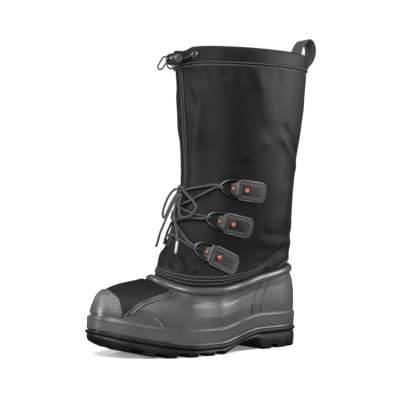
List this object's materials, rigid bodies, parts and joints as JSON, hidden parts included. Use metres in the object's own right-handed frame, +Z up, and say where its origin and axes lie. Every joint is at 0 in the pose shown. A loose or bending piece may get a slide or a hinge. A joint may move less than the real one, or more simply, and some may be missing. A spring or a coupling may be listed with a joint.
{
  "type": "pac boot",
  "caption": "Tall winter pac boot: woven shaft laced through side rings, moulded rubber shell and lugged rubber outsole, drawcord collar and pull loop.",
  "frame": {"origin": "on the floor, under the middle of the outsole's length, on the foot's centre line", "axes": "+Z up the shaft, -Y towards the toe, +X towards the outer side of the foot"},
  "size_m": [0.1292, 0.3485, 0.4199],
  "materials": {
    "sole_rubber": "matte, moulded",
    "boot_rubber": "satin, moulded",
    "woven_nylon": "coated plain weave",
    "insole_felt": "felt",
    "tab_leather": "satin, grained",
    "grey_steel": "dull plated wire",
    "orange_enamel": "enamelled rivet head",
    "lock_plastic": "glossy, moulded",
    "black_braid": "round braid",
    "black_webbing": "flat webbing"
  },
  "bodies": {
    "boot": {"drawcord": "black_braid", "eyelet_inner": "grey_steel", "eyelet_outer": "grey_steel", "front_seam": "woven_nylon", "insole": "insole_felt", "keeper_lower_inner": "tab_leather", "keeper_lower_outer": "tab_leather", "keeper_middle_inner": "tab_leather", "keeper_middle_outer": "tab_leather", "keeper_rivet_lower_inner": "orange_enamel", "keeper_rivet_lower_outer": "orange_enamel", "keeper_rivet_middle_inner": "orange_enamel", "keeper_rivet_middle_outer": "orange_enamel", "keeper_rivet_upper_inner": "orange_enamel", "keeper_rivet_upper_outer": "orange_enamel", "keeper_upper_inner": "tab_leather", "keeper_upper_outer": "tab_leather", "lace_crossings": "black_braid", "lace_end_inner": "black_braid", "lace_end_outer": "black_braid", "lace_knot": "black_braid", "lace_loop_inner": "black_braid", "lace_loop_outer": "black_braid", "lock_barrel": "lock_plastic", "outsole": "sole_rubber", "pull_loop": "black_webbing", "ring_lower_inner": "grey_steel", "ring_lower_outer": "grey_steel", "ring_middle_inner": "grey_steel", "ring_middle_outer": "grey_steel", "ring_upper_inner": "grey_steel", "ring_upper_outer": "grey_steel", "rubber_shell": "boot_rubber", "shaft": "woven_nylon", "tab_lower_inner": "tab_leather", "tab_lower_outer": "tab_leather", "tab_middle_inner": "tab_leather", "tab_middle_outer": "tab_leather", "tab_rivet_lower_inner": "orange_enamel", "tab_rivet_lower_outer": "orange_enamel", "tab_rivet_middle_inner": "orange_enamel", "tab_rivet_middle_outer": "orange_enamel", "tab_rivet_upper_inner": "orange_enamel", "tab_rivet_upper_outer": "orange_enamel", "tab_upper_inner": "tab_leather", "tab_upper_outer": "tab_leather", "toe_bumper": "boot_rubber", "toe_cap": "boot_rubber", "toe_wing_inner": "boot_rubber", "toe_wing_outer": "boot_rubber", "vamp_ridge_inner": "boot_rubber", "vamp_ridge_outer": "boot_rubber"},
    "button": {"lock_button": "lock_plastic"}
  },
  "joints": [
    {"name": "button_slide", "type": "slide", "parent": "boot", "child": "button", "axis": [1, 0, 0], "range_m": [-0.0032, 0], "stiffness_N_per_m": 300}
  ]
}
